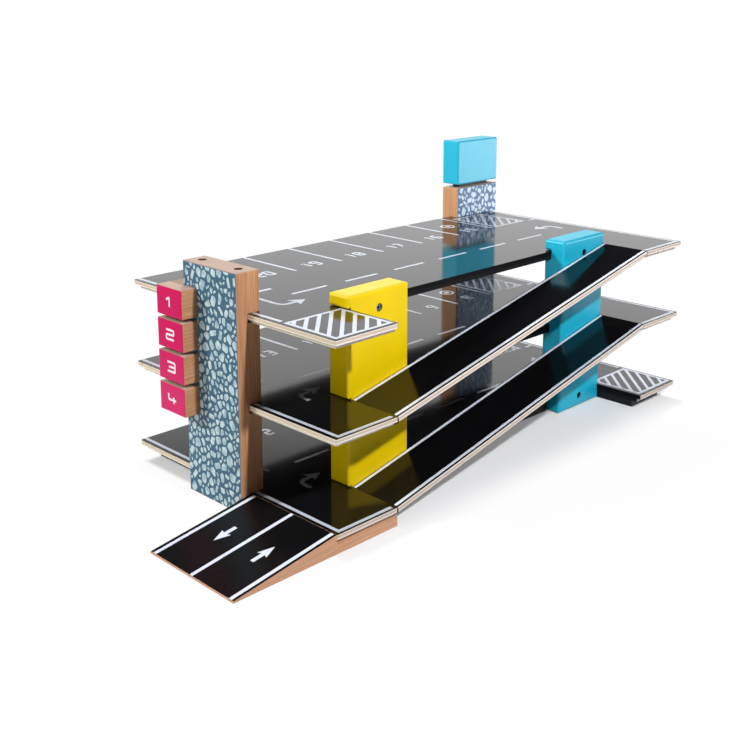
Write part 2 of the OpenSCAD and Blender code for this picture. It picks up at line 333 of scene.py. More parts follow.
def beech(shader, u, v, w, base, dark, pith=(-38.0, 60.0)):
    """Solid beech whose fibres run along w: uneven rings around a pith off to one side, fine fibres, and
    the short dark flecks of the rays. Gives its colour and a height for the bump."""
    wander = shader.noise((u * 0.02, v * 0.02, w * 0.004), 1.0, 2.0)
    du = u - pith[0]
    dv = v - pith[1]
    radius = (du * du + dv * dv) ** 0.5 + wander * 22
    rings = shader.noise((radius * 0.6, w * 0.002, 0.0), 1.0, 3.0, 0.65)
    fibres = shader.noise((u * 1.3, v * 1.3, w * 0.022), 1.0, 5.0, 0.7)
    rays = shader.noise((u * 2.4, v * 2.4, w * 0.22), 1.0, 2.0, 0.5)
    fleck = shader.step(rays, 0.60, 0.72)
    tone = shader.noise((u * 0.03, v * 0.03, w * 0.003 + 7), 1.0, 2.0)
    depth = 0.42 + (rings - 0.5) * 1.1 + (fibres - 0.5) * 2.0 + (tone - 0.5) * 0.7
    colour = shader.mix(shader.step(depth, -0.2, 1.15), base, dark)
    colour = shader.mix(fleck * 0.38, colour, shader.dim(dark, 0.72))
    return colour, fibres - fleck * 0.5


def timber_finish(shader, tower, thin, base, dark, ground, ior):
    """Tower timber: beech with its fibres upright, pale cut ends, worn edges, and the terrazzo's ground on
    both broad faces of a tower that is thin along x (0) or y (1). The two sockets are dark inside. The
    distance from the nearest one's axis comes from the tower folded at its middle."""
    x, y, z = shader.place()
    normal = shader.facing()
    colour, height = beech(shader, x, y, z, base, dark)
    ends = shader.step(abs(normal[2]), 0.6, 0.8)
    pores = shader.noise((x, y, z * 0.2), 2.4, 2.0)
    colour = shader.mix(ends * 0.85, colour, shader.dim(WOOD_END, 0.84 + pores * 0.3))
    middle = [(low + high) / 2 for low, high in zip(*tower)]
    offsets = (x - middle[0], y - middle[1])
    across = offsets[thin]
    along = abs(offsets[1 - thin]) - (TOWER_WIDTH / 2 - SOCKET_INSET)
    printed = (abs(normal[thin]) > 0.7) * (abs(across) > TOWER_DEPTH / 2 - 0.8)
    mottle = shader.noise((x, y, z), 0.5, 4.0, 0.6)
    colour = shader.mix(printed, colour, shader.dim(ground, 0.80 + mottle * 0.40))
    colour = shader.mix(shader.step(shader.rounding(normal), 0.05, 0.29, 0.0, 0.3), colour, WOOD_WORN)
    drilled = (across * across + along * along) < (SOCKET_RADIUS + 0.1) ** 2
    drilled = drilled * (z > TOWER_HEIGHT - 25) * (z < TOWER_HEIGHT - 0.1)
    colour = shader.dim(colour, 1 - drilled * 0.8)
    rough = 0.46 - printed * 0.06 + height * 0.06
    return {"Base Color": colour, "Roughness": rough, "Normal": shader.bump(height, 0.00003), "IOR": ior}


def wedge_finish(shader):
    """Entry wedge: satin black print on its slope, beech with its fibres along x on the rest."""
    x, y, z = shader.place()
    nz = shader.facing()[2]
    wood, height = beech(shader, y, z, x, srgb("dcad90"), srgb("b5835f"), (40.0, -45.0))
    black, gloss, peel = lacquered_black(shader, x, y, z, 0.26)
    slope = (nz > 0.5) * (x < WEDGE_HEAD - 0.15) * (x > WEDGE_FOOT + 0.4)
    colour = shader.mix(slope, wood, black)
    rough = slope * gloss + (1 - slope) * 0.48
    bump = shader.bump(slope * peel + (1 - slope) * height * 5, 0.000006)
    return {"Base Color": colour, "Roughness": rough, "Normal": bump, "IOR": 1.25}


def sign_finish(shader):
    """Sign block: pink print on its outer face, paler on the lower blocks, and beech with its fibres
    along x on the rest."""
    x, y, z = shader.place()
    nx, _, nz = shader.facing()
    wood, height = beech(shader, y, z, x, srgb("cb9a75"), srgb("a06f4b"), (90.0, 20.0))
    pores = shader.noise((x, y, z), 1.8, 2.0)
    wood = shader.mix(shader.step(nz, 0.6, 0.8) * 0.8, wood, shader.dim(WOOD_END, 0.84 + pores * 0.3))
    printed = nx < -0.7
    mottle = shader.noise((x, y, z), 0.35, 4.0, 0.6)
    pink = shader.dim(PINK, 0.93 + mottle * 0.14)
    pink = shader.mix(shader.step(z, 150.0, 76.0) * 0.30, pink, PINK_PALE)
    colour = shader.mix(printed, wood, pink)
    rough = 0.46 - printed * 0.1 + height * 0.05
    return {"Base Color": colour, "Roughness": rough, "Normal": shader.bump(height, 0.00003), "IOR": 1.18}


def painted_finish(shader, paint, edge_and_sheen_paint, seed, ior):
    """Sprayed wood: even paint with a faint upright grain below and thinner on the edges. The tops carry
    painted light: a painted sheen towards the paler paint and a little painted shade. The seed moves the
    pattern."""
    x, y, z = shader.place()
    normal = shader.facing()
    grain = shader.noise((x * 1.1 + seed, y * 1.1, z * 0.035), 1.0, 4.0, 0.6)
    cloud = shader.noise((x, y, z + seed), 0.03, 3.0)
    spray = shader.noise((x, y, z), 1.3, 2.0)
    worn = shader.step(shader.rounding(normal) + (grain - 0.5) * 0.12, 0.08, 0.30)
    colour = shader.dim(paint, 0.91 + cloud * 0.12 + (grain - 0.5) * 0.08)
    # Painted sheen and shade on the tops: mixed towards the paler paint, then dimmed a little.
    top = shader.step(normal[2], 0.6, 0.9)
    colour = shader.mix(shader.larger(worn * 0.08, top * 0.35), colour, edge_and_sheen_paint)
    colour = shader.dim(colour, 1 - top * 0.13)
    rough = 0.29 + cloud * 0.08 + spray * 0.06 - worn * 0.04
    bump = shader.bump(grain * 0.6 + spray * 0.4, 0.00004)
    return {"Base Color": colour, "Roughness": rough, "Normal": bump, "IOR": ior}


def black_paint_finish(shader):
    """Brushed black paint on plain battens."""
    x, y, z = shader.place()
    grain = shader.noise((x * 0.08, y * 0.08, z * 1.5), 1.0, 4.0, 0.6)
    cloud = shader.noise((x, y, z), 0.05, 3.0)
    colour = shader.dim(BATTEN_BLACK, 0.6 + grain * 0.7)
    return {"Base Color": colour, "Roughness": 0.42 + cloud * 0.2, "IOR": 1.35,
            "Normal": shader.bump(grain, 0.00004)}


def steel_finish(shader):
    """Screw head: brushed steel, with painted shade in a ring at its rim, as if it sat in a counterbore, and
    deeper in, in its cross. Those of the cyan pillar are dark all over. The distance from the nearest screw's
    axis comes from x folded at the decks' middle and z folded at each storey: the screws sit 150 mm to both
    sides of it, in the seams between the panels."""
    x, y, z = shader.place()
    across = abs(x - DECK_LENGTH / 2) - 150
    up = (z - SEAM + STOREY / 2) % STOREY - STOREY / 2
    # Painted shade: dark in a ring at the rim and deeper in, in the cross.
    rim = shader.step((across * across + up * up) ** 0.5, 2.2, 3.3)
    painted_recess_shade = shader.step(y, PILLAR_FRONT + 1.6, PILLAR_FRONT + 2.3)
    brushed = shader.noise((x * 3, y * 9, z * 3), 1.0, 3.0)
    dark = shader.larger(shader.larger(painted_recess_shade, rim), x > DECK_LENGTH / 2)
    colour = shader.mix(dark, STEEL, STEEL_DARK_AND_SHADED)
    return {"Base Color": colour, "Metallic": 1.0, "Roughness": 0.26 + brushed * 0.16,
            "Normal": shader.bump(brushed, 0.00002)}


def plastic_finish(shader):
    """Moulded black plastic with a fine eroded texture."""
    x, y, z = shader.place()
    pits = shader.noise((x, y, z), 2.6, 3.0, 0.6)
    colour = shader.dim(PLASTIC_BLACK, 0.7 + pits * 0.6)
    return {"Base Color": colour, "Roughness": 0.45 + pits * 0.15, "Normal": shader.bump(pits, 0.00003)}


def white_print_finish(shader, white):
    """White print under the same gloss lacquer as the black."""
    x, y, z = shader.place()
    cloud = shader.noise((x, y, z), 0.25, 3.0)
    screen = shader.noise((x, y, z), 3.2, 2.0)
    peel = shader.noise((x, y, z), 0.22, 2.0)
    colour = shader.dim(white, 0.90 + cloud * 0.10 + screen * 0.06)
    return {"Base Color": colour, "Roughness": 0.08 + cloud * 0.04, "IOR": 1.5,
            "Normal": shader.bump(peel, 0.000006)}


def stone_print_finish(shader, light, dark, ior):
    """Pale printed stones of the terrazzo, with slow changes of tone and a little speckle."""
    x, y, z = shader.place()
    tone = shader.noise((x, y, z), 0.16, 1.0)
    speckle = shader.noise((x, y, z), 1.1, 3.0, 0.7)
    colour = shader.mix(shader.step(tone, 0.35, 0.65), light, dark)
    colour = shader.dim(colour, 0.84 + speckle * 0.32)
    return {"Base Color": colour, "Roughness": 0.38 + speckle * 0.08, "IOR": ior,
            "Normal": shader.bump(speckle, 0.00002)}


def sign_white_finish(shader):
    """White print on the sign blocks' satin faces."""
    x, y, z = shader.place()
    screen = shader.noise((x, y, z), 0.9, 3.0)
    colour = shader.dim(SIGN_WHITE, 0.93 + screen * 0.1)
    return {"Base Color": colour, "Roughness": 0.34 + screen * 0.1, "IOR": 1.38}


def dress(names, made):
    """Gives the named CAD nodes a material in each of their slots."""
    for name in names:
        node = nodes[name]
        if not node.material_slots:
            node.data.materials.append(made)
        for slot in node.material_slots:
            slot.material = made


white_print = material("white_print", white_print_finish, srgb("bfc6d2"))
# The ramps' and the wedge's white print is paler and bluer than the same print on the decks: a painted sheen.
ramp_white_print_painted_sheen = material("ramp_white_print_painted_sheen", white_print_finish, srgb("e4eafa"))
sign_white = material("sign_white", sign_white_finish)
stone_print = material("stone_print", stone_print_finish, srgb("c7d9da"), srgb("9cb9c2"), 1.28)
# The rear tower's stones are paler and bluer than the front tower's: a painted sheen.
rear_stones_painted_sheen = material("rear_stones_painted_sheen", stone_print_finish, srgb("dbe8f2"), srgb("c4d8ea"), 1.45)
dress([f"deck_{level}_top" for level in DECK_TOPS],
      material("deck_print", panel_finish, LOWER_PANEL, UPPER_PANEL, False))
dress([f"deck_{level}_base" for level in DECK_TOPS],
      material("deck_base", panel_finish, 0.0, LOWER_PANEL, True))
dress(["lower_ramp"], material("lower_ramp_print", ramp_finish, 1))
dress(["upper_ramp"], material("upper_ramp_print", ramp_finish, 2))
dress(["entry_ramp"], material("entry_ramp_print", wedge_finish))
dress(["front_tower"], material("front_timber", timber_finish, FRONT_TOWER, 0,
                                srgb("cb9972"), srgb("9a6744"), srgb("3f6479"), 1.28))
# The rear tower's terrazzo ground is paler and bluer than the front tower's: a painted sheen.
dress(["rear_tower"], material("rear_timber_painted_sheen", timber_finish, REAR_TOWER, 1,
                               srgb("d6a276"), srgb("ad7645"), srgb("486c96"), 1.45))
dress(SIGN_NAMES + ["sign_dowels"], material("sign_print", sign_finish))
dress(["yellow_pillar"],
      material("yellow_paint", painted_finish, srgb("ebc900"), srgb("f9ea84"), 0.0, 1.28))
dress(["cyan_pillar", "tower_cap"],
      material("cyan_paint", painted_finish, srgb("14b6d6"), srgb("76c8dc"), 40.0, 1.45))
dress(["yellow_pillar_screws", "cyan_pillar_screws"], material("screw_steel", steel_finish))
dress([f"plinth_{side}" for side in ("front", "back", "left", "right")],
      material("black_paint", black_paint_finish))
dress(["cap_connector"], material("black_plastic", plastic_finish))


# Printed marks: flat bars and patches, all measured on the surface that carries them


def bar(path, width, lift=LIFT):
    """One printed line. Its cross-section is a low rectangle of that width. It is carried along the path,
    and at each point it lies along the mean of the two neighbouring sides' normals, made longer by one
    over the cosine of half the turn, so the line keeps its width round corners."""
    path = np.asarray(path, float)
    run = np.diff(path, axis=0)
    run /= np.linalg.norm(run, axis=1)[:, None]
    normal = np.stack([-run[:, 1], run[:, 0]], 1)
    before = np.vstack([normal[:1], normal])
    after = np.vstack([normal, normal[-1:]])
    mitre = before + after
    mitre /= (mitre * before).sum(1)[:, None]
    left = path + mitre * width / 2
    right = path - mitre * width / 2
    low = np.full((len(path), 1), -SINK)
    high = np.full((len(path), 1), lift)
    rings = np.stack([np.hstack([right, low]), np.hstack([right, high]),
                      np.hstack([left, high]), np.hstack([left, low])], 1)
    i = np.arange(len(path) - 1)[:, None] * 4
    sides = [i + np.array([[k, k + 4, (k + 1) % 4 + 4, (k + 1) % 4]]) for k in range(4)]
    last = 4 * (len(path) - 1)
    caps = np.array([[0, 1, 2, 3], [last + 3, last + 2, last + 1, last]])
    return rings.reshape(-1, 3), np.vstack(sides + [caps])


def ring(centre, radius, width, count=40):
    """A printed ring: a circle's points at the inner and the outer radius, joined by quads, with its
    rims drawn down to the surface."""
    turn = np.arange(count) * 2 * np.pi / count
    way = np.stack([np.cos(turn), np.sin(turn)], 1)
    shells = [(radius + width / 2, -SINK), (radius + width / 2, LIFT),
              (radius - width / 2, LIFT), (radius - width / 2, -SINK)]
    points = np.vstack([np.hstack([way * r + np.array(centre), np.full((count, 1), h)]) for r, h in shells])
    here = np.arange(count)
    after = (here + 1) % count
    quad = np.stack([here, after, after + count, here + count], 1)
    return points, np.vstack([quad + shell * count for shell in range(3)])


def patch(outline, centre):
    """A printed patch: its outline, counter-clockwise, drawn up from the surface, and closed by a fan
    around a centre from which every outline point is seen."""
    outline = np.asarray(outline, float)
    count = len(outline)
    low = np.hstack([outline, np.full((count, 1), -SINK)])
    high = np.hstack([outline, np.full((count, 1), LIFT)])
    points = np.vstack([low, high, [[*centre, LIFT]]])
    here = np.arange(count)
    after = (here + 1) % count
    skirt = np.stack([here, after, after + count, here + count], 1)
    tip = np.full(count, 2 * count)
    fan = np.stack([here + count, after + count, tip, tip], 1)
    return points, np.vstack([skirt, fan])


def disc(centre, radius, count=24):
    """A printed disc: the patch inside a circle's points."""
    turn = np.arange(count) * 2 * np.pi / count
    return patch(np.stack([centre[0] + radius * np.cos(turn), centre[1] + radius * np.sin(turn)], 1), centre)


def soften(path, radius, steps=4):
    """A path with each corner replaced by a quadratic curve that starts and ends one radius away, or less
    on a short side."""
    path = np.asarray(path, float)
    before = path[:-2] - path[1:-1]
    after = path[2:] - path[1:-1]
    room_before = np.linalg.norm(before, axis=1)[:, None]
    room_after = np.linalg.norm(after, axis=1)[:, None]
    start = path[1:-1] + before / room_before * np.minimum(radius, 0.45 * room_before)
    end = path[1:-1] + after / room_after * np.minimum(radius, 0.45 * room_after)
    t = np.linspace(0, 1, steps + 1)[None, :, None]
    curve = (1 - t) ** 2 * start[:, None] + 2 * t * (1 - t) * path[1:-1, None] + t ** 2 * end[:, None]
    return np.vstack([path[:1], curve.reshape(-1, 2), path[-1:]])


def arrow_head(tip, back, length=13.0, half=5.4, sweep=1.6, throat=1.4):
    """A filled head: its tip, two barbs swept back a little, and between them a shallow flat notch, throat
    to both sides of the middle, where the stem ends. back is about one long, from the tip to the stem."""
    tip = np.asarray(tip, float)
    back = np.asarray(back, float)
    side = np.array([-back[1], back[0]])
    outline = [tip + back * length + side * half, tip + back * (length - sweep) + side * throat,
               tip + back * (length - sweep) - side * throat, tip + back * length - side * half, tip]
    return patch(outline, tip + back * length * 0.6)


def straight_arrow(tip, back, total):
    """An arrow on a straight stem, total long from its tip. The stem starts a little inside the head."""
    tip = np.asarray(tip, float)
    back = np.asarray(back, float)
    return [arrow_head(tip, back), bar([tip + back * 10.5, tip + back * total], 3.8, STEM_LIFT)]


def bent_arrow(path, radius, tip, back, length, half, sweep):
    """An arrow on a stem with softened corners, and a head that stands on the stem's end."""
    return [bar(soften(path, radius, 8), 3.9, STEM_LIFT), arrow_head(tip, back, length, half, sweep)]


def glyph(digit, w, h, s):
    """Middle lines of one digit's strokes in a field w wide and h high. A stroke that meets another
    ends s, half a stroke, before its middle line."""
    m = h / 2
    right = w * 0.68
    loop = [(w / 2, 0), (w, 0), (w, h), (0, h), (0, 0), (w / 2, 0)]
    return {
        "0": [loop],
        "1": [[(w * 0.15, h - 2.2), (w * 0.55, h), (w * 0.55, 0)]],
        "2": [[(0, h), (w, h), (w, m), (0, m), (0, 0), (w, 0)]],
        "3": [[(0, h), (w, h), (w, 0), (0, 0)], [(w * 0.2, m), (w - s, m)]],
        "4": [[(0, h), (0, h * 0.36), (w, h * 0.36)], [(right, h * 0.7), (right, h * 0.36 + s)],
              [(right, h * 0.36 - s), (right, 0)]],
        "5": [[(w, h), (0, h), (0, m), (w, m), (w, 0), (0, 0)]],
        "6": [[(w, h), (0, h), (0, 0), (w, 0), (w, m), (s, m)]],
        "7": [[(0, h), (w, h), (w * 0.36, 0)]],
        "8": [loop, [(s, m), (w - s, m)]],
        "9": [[(w - s, m), (0, m), (0, h), (w, h), (w, 0), (0, 0)]],
    }[digit]


def digits(text, middle, foot, width=6.6, height=13.0, stroke=2.9, pitch=11.2):
    """A plain number, centred along u on the middle and standing on the foot. Width and height are those
    of the strokes' middle lines."""
    parts = []
    start = middle - (pitch * (len(text) - 1) + width) / 2
    for place, digit in enumerate(text):
        for path in glyph(digit, width, height, stroke / 2):
            points = soften(path, stroke * 0.7) if len(path) > 2 else np.asarray(path, float)
            parts.append(bar(points + np.array([start + pitch * place, foot + stroke / 2]), stroke))
    return parts


def merge(shapes):
    """One array of points and one of faces from several, each one's faces counted on from the last."""
    starts = np.cumsum([0] + [len(points) for points, _ in shapes])
    faces = [faces + start for (_, faces), start in zip(shapes, starts)]
    return np.vstack([points for points, _ in shapes]), np.vstack(faces)


def laid(parts, lay):
    """Prints joined on one surface. lay maps u, v and height on the surface to x, y and z."""
    return merge([(np.stack(lay(*points.T), 1), faces) for points, faces in parts])


def flat(top):
    """The lay of a level surface at that height."""
    return lambda u, v, h: (u, v, top + h)


def sloped(start, height, slope):
    """The lay of a slope that has that height at its start. Prints stand out square to it."""
    return lambda u, v, h: (u - slope * h, v, height + (u - start) * slope + h)


def mesh_piece(name, shape, made, body):
    """Makes an object from points in millimetres and quads, whose last corner may repeat, and lets it
    ride on a body."""
    points, faces = shape
    places = (points - np.array(ORIGIN)) / 1000
    corners = [quad[:3] if quad[2] == quad[3] else quad for quad in faces.tolist()]
    mesh = bpy.data.meshes.new(name)
    mesh.from_pydata(places.tolist(), [], corners)
    mesh.update()
    mesh.materials.append(made)
    piece = bpy.data.objects.new(name, mesh)
    scene.collection.objects.link(piece)
    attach(piece, body)


def hatch(u0, u1, v0, v1, first, pitch, width=3.3, frame_width=3.2):
    """A framed field of stripes at 45 degrees. A stripe lies where u - v is first plus a whole number of
    pitches, and it ends on the frame."""
    h = frame_width / 2
    parts = [bar([(u0, v0 + h), (u1, v0 + h)], frame_width), bar([(u0, v1 - h), (u1, v1 - h)], frame_width),
             bar([(u0 + h, v0 + frame_width), (u0 + h, v1 - frame_width)], frame_width),
             bar([(u1 - h, v0 + frame_width), (u1 - h, v1 - frame_width)], frame_width)]
    a0, a1, b0, b1 = u0 + frame_width, u1 - frame_width, v0 + frame_width, v1 - frame_width
    half = width * math.sqrt(2) / 2
    offset = first
    while offset - half < a1 - b0:
        if offset + half > a0 - b1:
            parts.append(stripe(a0, a1, b0, b1, offset - half, offset + half))
        offset += pitch
    return [part for part in parts if part is not None]


def stripe(a0, a1, b0, b1, low, high):
    """The part of a field where u - v lies between two values: the field's corners and the crossings of
    both lines with its sides that satisfy this, in order of their angle around their middle."""
    corners = [(u, v) for u in (a0, a1) for v in (b0, b1)]
    crossings = [(u, u - c) for u in (a0, a1) for c in (low, high)]
    crossings += [(v + c, v) for v in (b0, b1) for c in (low, high)]
    points = np.array(corners + crossings)
    gap = points[:, 0] - points[:, 1]
    inside = ((points[:, 0] > a0 - 1e-6) & (points[:, 0] < a1 + 1e-6) & (points[:, 1] > b0 - 1e-6)
              & (points[:, 1] < b1 + 1e-6) & (gap > low - 1e-6) & (gap < high + 1e-6))
    points = np.unique(points[inside].round(6), axis=0)
    if len(points) < 3:
        return None
    middle = points.mean(0)
    turn = np.arctan2(points[:, 1] - middle[1], points[:, 0] - middle[0])
    return patch(points[np.argsort(turn)], middle)


# Layout of the decks' print
LINE = 3.4
BAY = 58.5
BAY_FRONT = 188.0
PRINT_BACK = DECK_DEPTH - 0.3
BAY_LINES = [67.5 + BAY * i for i in range(6)] + [417.5]
BAY_MIDDLES = [36.95 + BAY * i for i in range(7)]
BAY_NUMBERS = {1: range(1, 8), 2: range(14, 7, -1), 3: range(21, 14, -1)}
BAY_SYMBOL = (388.0, 228.0)
LANE_MIDDLE = 125.5
DASH, DASH_PITCH = 41.0, 63.35
BORDER_LEFT, BORDER_RIGHT, BORDER_FRONT = 4.95, 496.0, 3.4


def bay_marks(level):
    """Bay lines, a number in the mouth of each bay, and a ring with a dot in the last one."""
    parts = [bar([(x, BAY_FRONT), (x, PRINT_BACK)], LINE) for x in BAY_LINES]
    for x, number in zip(BAY_MIDDLES, BAY_NUMBERS[level]):
        parts += digits(str(number), x, BAY_FRONT + 2.0)
    return parts + [ring(BAY_SYMBOL, 7.3, 2.7), disc(BAY_SYMBOL, 3.3)]


def lane_marks():
    """Dashes along the middle of the lane, a hatched field in front of the rear tower and a short tick."""
    starts = [66.8 + DASH_PITCH * i for i in range(6)]
    parts = [bar([(start, LANE_MIDDLE), (start + DASH, LANE_MIDDLE)], 3.2) for start in starts]
    parts += hatch(425.0, 477.0, 187.5, 253.5, first=-278.0, pitch=13.2)
    return parts + [bar([(483.6, 186.0), (493.3, 186.0)], 3.0)]


def border_marks(level):
    """Lines along the left and right edges and round the arms' ends. The left one stops on both sides of
    the front tower. The top deck's left arm and the lowest deck's right arm end in hatched fields, and
    the lines start behind these."""
    parts = []
    tower_front, tower_back = FRONT_TOWER[0][1] - 0.6, FRONT_TOWER[1][1] + 0.6
    left, right, front = BORDER_LEFT, BORDER_RIGHT, BORDER_FRONT
    if level == 3:
        parts += hatch(2.9, 64.5, 2.8, 62.5, first=-47.9, pitch=13.4)
        parts.append(bar([(left, 67.0), (left, tower_front)], LINE))
    else:
        parts.append(bar([(63.4, front), (left, front), (left, tower_front)], LINE))
    parts.append(bar([(left, tower_back), (left, PRINT_BACK)], LINE))
    if level == 1:
        parts += hatch(437.0, 498.0, 3.4, 61.0, first=385.0, pitch=13.4)
        parts.append(bar([(right, 66.0), (right, PRINT_BACK)], LINE))
    else:
        parts.append(bar([(434.3, front), (right, front), (right, PRINT_BACK)], LINE))
    return parts


def arrow_marks(level):
    """Arrows: on the top deck a U-turn at the lane's left end, on the others a straight one to the front
    and one from the left arm into the lane, and on all of them one from the right arm into it."""
    if level == 3:
        path = [(66.0, 152.5), (36.6, 152.5), (36.6, 103.5), (53.0, 103.9)]
        parts = bent_arrow(path, 9.0, (63.0, 104.3), (-1.0, -0.03), 13.5, 8.8, 2.2)
    else:
        tip = {2: (42.0, 132.0), 1: (38.0, 126.0)}[level]
        parts = straight_arrow(tip, (0.0, 1.0), 40.0)
        path = [(41.7, 77.0), (42.9, 92.2), (58.0, 93.2)]
        parts += bent_arrow(path, 7.0, (68.6, 93.9), (-1.0, -0.05), 13.5, 7.5, 2.0)
    path = [(471.3, 130.0), (471.3, 149.0), (456.0, 149.0)]
    return parts + bent_arrow(path, 9.0, (444.5, 149.0), (1.0, 0.0), 14.0, 8.8, 2.2)


for level, top in DECK_TOPS.items():
    parts = bay_marks(level) + lane_marks() + border_marks(level) + arrow_marks(level)
    mesh_piece(f"deck_{level}_marks", laid(parts, flat(top)), white_print, "garage")

for name, level in (("lower_ramp", 1), ("upper_ramp", 2)):
    parts = [bar([(RAMP_START + 0.5, y), (RAMP_END - 0.5, y)], 2.9) for y in (3.4, 50.3)]
    lay = sloped(RAMP_START, DECK_TOPS[level], RAMP_SLOPE)
    mesh_piece(f"{name}_marks", laid(parts, lay), ramp_white_print_painted_sheen, name)

parts = [bar([(WEDGE_FOOT + 0.6, y), (WEDGE_HEAD - 0.6, y)], LINE) for y in (4.2, 51.0, 97.6)]
parts += straight_arrow((-61.8, 73.7), (1.0, 0.0), 22.1)
parts += straight_arrow((-38.7, 27.4), (-1.0, 0.0), 22.6)
lay = sloped(WEDGE_HEAD, DECK_TOPS[1], WEDGE_SLOPE)
mesh_piece("entry_ramp_marks", laid(parts, lay), ramp_white_print_painted_sheen, "entry_ramp")

# The sign blocks' numbers stand in the middle of their outer faces, which look to the left
SIGN_DIGIT, SIGN_STROKE = 8.1, 1.9
parts = []
for number, (low, high) in enumerate(SIGN_BLOCKS, 1):
    foot = (low[2] + high[2]) / 2 - (SIGN_DIGIT + SIGN_STROKE) / 2
    parts += digits(str(number), -(low[1] + high[1]) / 2, foot, 10.5, SIGN_DIGIT, SIGN_STROKE)
shape = laid(parts, lambda u, v, h: (SIGN_BLOCKS[0][0][0] - h, -u, v))
mesh_piece("sign_numbers", shape, sign_white, "garage")


# Terrazzo stones


def stone_field(seed):
    """Middles and sizes of the stones on a tower's broad face, with a border around it. There is one
    stone for every 41 square millimetres. Discs 1.28 times as large as the stones start anywhere and push
    each other apart by half of what they overlap, over and over. Upright distances count less, so stones
    stand upright."""
    rng = np.random.default_rng(seed)
    border = 7.0
    span = np.array([TOWER_WIDTH, TOWER_HEIGHT]) + 2 * border
    count = int(span[0] * span[1] / 41.0)
    size = 1.5 + 3.0 * rng.random(count) ** 1.4
    place = rng.random((count, 2)) * span - border
    for _ in range(50):
        apart = place[:, None] - place[None]
        apart[..., 1] *= 0.8
        distance = np.sqrt((apart ** 2).sum(2)) + np.eye(count) * 99
        lap = np.clip((size[:, None] + size[None]) * 1.28 - distance, 0, None)
        place += (apart / distance[..., None] * lap[..., None]).sum(1) * 0.25
        place = np.clip(place, -border, span - border)
    return place, size, rng


def cell(normal, reach):
    """Corners of the polygon where every normal times the place is at most its reach: the crossings of
    all pairs of lines that keep to this, in order of their angle, without those that coincide."""
    a, b = np.triu_indices(len(reach), 1)
    cross = normal[a, 0] * normal[b, 1] - normal[a, 1] * normal[b, 0]
    solid = np.abs(cross) > 1e-6
    a, b, cross = a[solid], b[solid], cross[solid]
    points = np.stack([(reach[a] * normal[b, 1] - reach[b] * normal[a, 1]) / cross,
                       (reach[b] * normal[a, 0] - reach[a] * normal[b, 0]) / cross], 1)
    points = points[((points @ normal.T) <= reach + 1e-6).all(1)]
    points = points[np.argsort(np.arctan2(points[:, 1], points[:, 0]))]
    return points[np.linalg.norm(points - np.roll(points, 1, 0), axis=1) > 0.02]


def stones(seed, gap, fields):
    """The stones inside each field. A stone is the room nearer to its disc than to others, drawn in by
    about the gap, cut by a close pair of lines on both sides of a slanting axis and by three chance
    ones, and at last by the field's sides. Its 14 closest lines are enough to find it. One that reaches
    into the field from less than 6 mm outside is kept, and one under 0.7 mm wide or high is left out."""
    place, size, rng = stone_field(seed)
    count = len(place)
    apart = place[None] - place[:, None]
    distance = np.sqrt((apart ** 2).sum(2)) + np.eye(count) * 1e3
    normal = apart / distance[..., None]
    reach = (distance ** 2 + size[:, None] ** 2 - size[None] ** 2) / (2 * distance)
    reach -= gap * (0.75 + 0.5 * rng.random((count, 1)))
    tilt = rng.normal(0.0, 0.8, count)
    slim = size * (0.42 + 0.85 * rng.random(count) ** 1.5)
    across = np.stack([np.cos(tilt), np.sin(tilt)], 1)
    cut = rng.random((count, 3)) * 2 * np.pi
    cut_way = np.stack([np.cos(cut), np.sin(cut)], 2)
    cut_reach = size[:, None] * (0.50 + 0.9 * rng.random((count, 3)))
    normal = np.concatenate([normal, across[:, None], -across[:, None], cut_way], 1)
    reach = np.concatenate([reach, slim[:, None], slim[:, None], cut_reach], 1)
    order = np.argsort(reach, axis=1)[:, :14]
    parts = []
    for u0, u1, v0, v1 in fields:
        middle = np.clip(place, [u0 + 0.35, v0 + 0.35], [u1 - 0.35, v1 - 0.35])
        for i in np.flatnonzero(np.linalg.norm(middle - place, axis=1) < 6.0):
            u, v = middle[i]
            ways = normal[i, order[i]]
            room = reach[i, order[i]] - ways @ (middle[i] - place[i])
            if room.min() < 0.25:
                continue
            ways = np.vstack([ways, [[1, 0], [-1, 0], [0, 1], [0, -1]]])
            room = np.append(room, [u1 - u, u - u0, v1 - v, v - v0])
            outline = cell(ways, room)
            if len(outline) > 2 and np.ptp(outline, axis=0).min() > 0.7:
                parts.append(patch(outline + middle[i], middle[i]))
    return parts


# The print ends 1 mm from a tower's edges, 0.8 mm above a deck and 0.4 mm below the next one
MARGIN = 1.0
RIGHT, TOP = TOWER_WIDTH - MARGIN, TOWER_HEIGHT - MARGIN
CEILINGS = [UNDERSIDES[2] - 0.4, UNDERSIDES[3] - 0.4, TOP]
BETWEEN_DECKS = [(MARGIN, RIGHT, top + 0.8, ceiling) for top, ceiling in zip(DECK_TOPS.values(), CEILINGS)]

# Front tower: the outer face beside, above and below the sign blocks, then the face towards the decks
left, front, _ = FRONT_TOWER[0]
right, back, _ = FRONT_TOWER[1]
beside = back - SIGN_BLOCKS[0][0][1] + 0.2
above = SIGN_BLOCKS[0][1][2] + 0.6
below = SIGN_BLOCKS[-1][0][2] - 0.6
outer = stones(11, 0.78, [(beside, RIGHT, MARGIN, TOP), (MARGIN, beside, above, TOP),
                          (MARGIN, beside, MARGIN, below)])
inner = stones(12, 0.78, BETWEEN_DECKS)
shape = merge([laid(outer, lambda u, v, h: (left - h, back - u, v)),
               laid(inner, lambda u, v, h: (right + h, front + u, v))])
mesh_piece("front_tower_stones", shape, stone_print, "garage")

